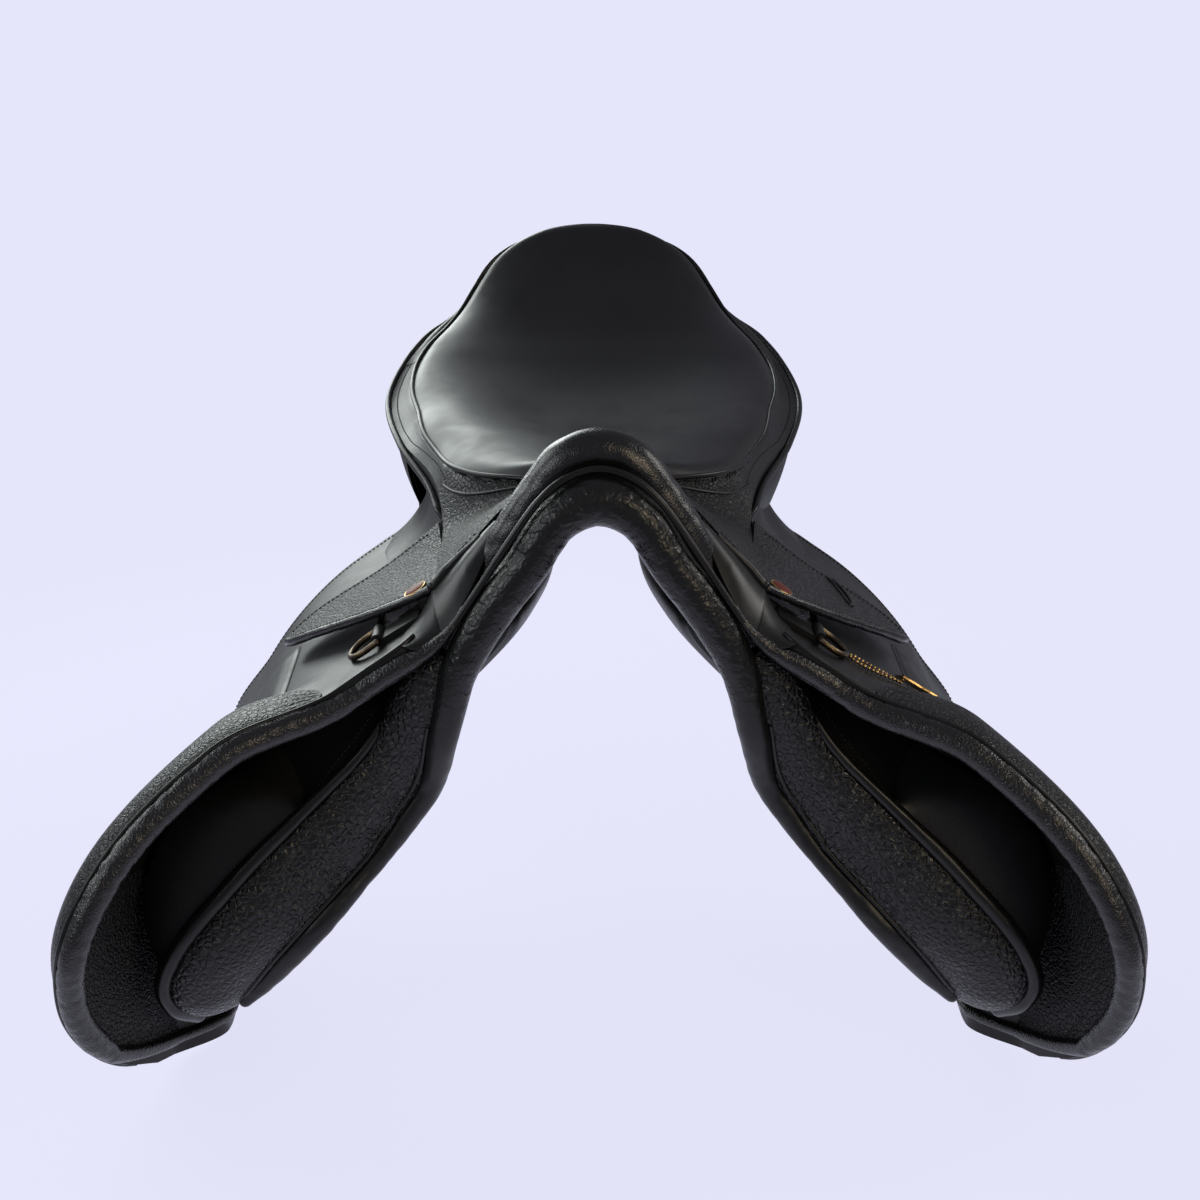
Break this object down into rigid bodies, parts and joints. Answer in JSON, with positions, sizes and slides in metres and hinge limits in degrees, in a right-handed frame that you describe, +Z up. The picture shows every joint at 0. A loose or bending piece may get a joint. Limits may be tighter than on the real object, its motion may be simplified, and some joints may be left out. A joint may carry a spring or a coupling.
{
  "type": "jumping saddle",
  "caption": "Close-contact jumping saddle in black leather with forward flaps, knee blocks, lifting skirts, stirrup bars, girth straps and dees.",
  "frame": {"origin": "on the horse's back under the middle of the seat, on the centre plane", "axes": "+X across to the picture right, -Y to the pommel, +Z up"},
  "size_m": [0.6656, 0.5549, 0.4729],
  "materials": {
    "black_leather": "smooth, soft sheen",
    "grain_leather": "pebble grain",
    "steel": "forged and polished",
    "dark_metal": "dark, worn to brass",
    "brass": "polished",
    "webbing": "woven",
    "tree_wood": "laminated beech",
    "foam": "foam",
    "enamel": "enamel in a metal rim"
  },
  "bodies": {
    "saddle": {"tree_frame": "tree_wood", "gullet_plate": "steel", "tree_rivets": "steel", "seat_webbing": "webbing", "seat_base": "black_leather", "seat_foam": "foam", "seat_cover": "black_leather", "seat_welt": "black_leather", "rear_facing": "black_leather", "pommel_roll": "grain_leather", "pommel_piping": "black_leather", "front_facing": "grain_leather", "sweat_flap_left": "black_leather", "sweat_flap_right": "black_leather", "knee_block_left": "black_leather", "knee_block_right": "black_leather", "thigh_block_left": "black_leather", "thigh_block_right": "black_leather", "girth_web_left": "webbing", "girth_web_right": "webbing", "strap_rivets_left": "steel", "strap_rivets_right": "steel", "panel_left": "black_leather", "panel_right": "black_leather", "panel_front_pad_left": "grain_leather", "panel_front_pad_right": "grain_leather", "stirrup_bar_left": "steel", "stirrup_bar_right": "steel", "catch_pin_left": "steel", "catch_pin_right": "steel", "dee_tab_rear_left": "black_leather", "dee_tab_rear_right": "black_leather"},
    "flap_left": {"flap_left": "black_leather", "knee_roll_left": "grain_leather", "flap_binding_left": "grain_leather", "dee_tab_front_left": "black_leather"},
    "skirt_left": {"skirt_left": "grain_leather", "nail_left": "enamel"},
    "catch_left": {"bar_catch_left": "steel"},
    "front_dee_left": {"dee_front_left": "dark_metal"},
    "rear_dee_left": {"dee_rear_left": "dark_metal"},
    "strap_front_left": {"girth_strap_front_left": "black_leather"},
    "strap_middle_left": {"girth_strap_middle_left": "black_leather"},
    "strap_rear_left": {"girth_strap_rear_left": "black_leather"},
    "flap_right": {"flap_right": "black_leather", "knee_roll_right": "grain_leather", "flap_binding_right": "grain_leather", "dee_tab_front_right": "black_leather"},
    "skirt_right": {"skirt_right": "grain_leather", "nail_right": "enamel"},
    "catch_right": {"bar_catch_right": "steel"},
    "front_dee_right": {"dee_front_right": "dark_metal", "tag_chain": "brass", "swing_tag": "brass"},
    "rear_dee_right": {"dee_rear_right": "dark_metal"},
    "strap_front_right": {"girth_strap_front_right": "black_leather"},
    "strap_middle_right": {"girth_strap_middle_right": "black_leather"},
    "strap_rear_right": {"girth_strap_rear_right": "black_leather"}
  },
  "joints": [
    {"name": "flap_left_lift", "type": "hinge", "parent": "saddle", "child": "flap_left", "pos_m": [-0.104, 0, 0.008], "axis": [0, 1, 0], "range_deg": [0, 60]},
    {"name": "skirt_left_lift", "type": "hinge", "parent": "flap_left", "child": "skirt_left", "pos_m": [-0.104, 0, 0.008], "axis": [0, 1, 0], "range_deg": [0, 45]},
    {"name": "catch_left_turn", "type": "hinge", "parent": "saddle", "child": "catch_left", "pos_m": [-0.12833, -0.106, -0.01723], "axis": [0.5299, 0, -0.848], "range_deg": [0, 50]},
    {"name": "front_dee_left_swing", "type": "hinge", "parent": "flap_left", "child": "front_dee_left", "pos_m": [-0.13779, -0.202, -0.0247], "axis": [0, 1, 0], "range_deg": [0, 25]},
    {"name": "rear_dee_left_swing", "type": "hinge", "parent": "saddle", "child": "rear_dee_left", "pos_m": [-0.045, 0.21511, 0.09002], "axis": [1, 0, 0], "range_deg": [0, 60]},
    {"name": "strap_front_left_swing", "type": "hinge", "parent": "saddle", "child": "strap_front_left", "pos_m": [-0.1287, -0.165, -0.0355], "axis": [0.5299, 0, -0.848], "range_deg": [-3, 3]},
    {"name": "strap_middle_left_swing", "type": "hinge", "parent": "saddle", "child": "strap_middle_left", "pos_m": [-0.12621, -0.135, -0.03949], "axis": [0.5299, 0, -0.848], "range_deg": [-3, 3]},
    {"name": "strap_rear_left_swing", "type": "hinge", "parent": "saddle", "child": "strap_rear_left", "pos_m": [-0.1287, -0.105, -0.0355], "axis": [0.5299, 0, -0.848], "range_deg": [-3, 3]},
    {"name": "flap_right_lift", "type": "hinge", "parent": "saddle", "child": "flap_right", "pos_m": [0.104, 0, 0.008], "axis": [0, -1, 0], "range_deg": [0, 60]},
    {"name": "skirt_right_lift", "type": "hinge", "parent": "flap_right", "child": "skirt_right", "pos_m": [0.104, 0, 0.008], "axis": [0, -1, 0], "range_deg": [0, 45]},
    {"name": "catch_right_turn", "type": "hinge", "parent": "saddle", "child": "catch_right", "pos_m": [0.12833, -0.106, -0.01723], "axis": [0.5299, 0, 0.848], "range_deg": [0, 50]},
    {"name": "front_dee_right_swing", "type": "hinge", "parent": "flap_right", "child": "front_dee_right", "pos_m": [0.13779, -0.202, -0.0247], "axis": [0, -1, 0], "range_deg": [0, 25]},
    {"name": "rear_dee_right_swing", "type": "hinge", "parent": "saddle", "child": "rear_dee_right", "pos_m": [0.045, 0.21511, 0.09002], "axis": [1, 0, 0], "range_deg": [0, 60]},
    {"name": "strap_front_right_swing", "type": "hinge", "parent": "saddle", "child": "strap_front_right", "pos_m": [0.1287, -0.165, -0.0355], "axis": [0.5299, 0, 0.848], "range_deg": [-3, 3]},
    {"name": "strap_middle_right_swing", "type": "hinge", "parent": "saddle", "child": "strap_middle_right", "pos_m": [0.12621, -0.135, -0.03949], "axis": [0.5299, 0, 0.848], "range_deg": [-3, 3]},
    {"name": "strap_rear_right_swing", "type": "hinge", "parent": "saddle", "child": "strap_rear_right", "pos_m": [0.1287, -0.105, -0.0355], "axis": [0.5299, 0, 0.848], "range_deg": [-3, 3]}
  ]
}
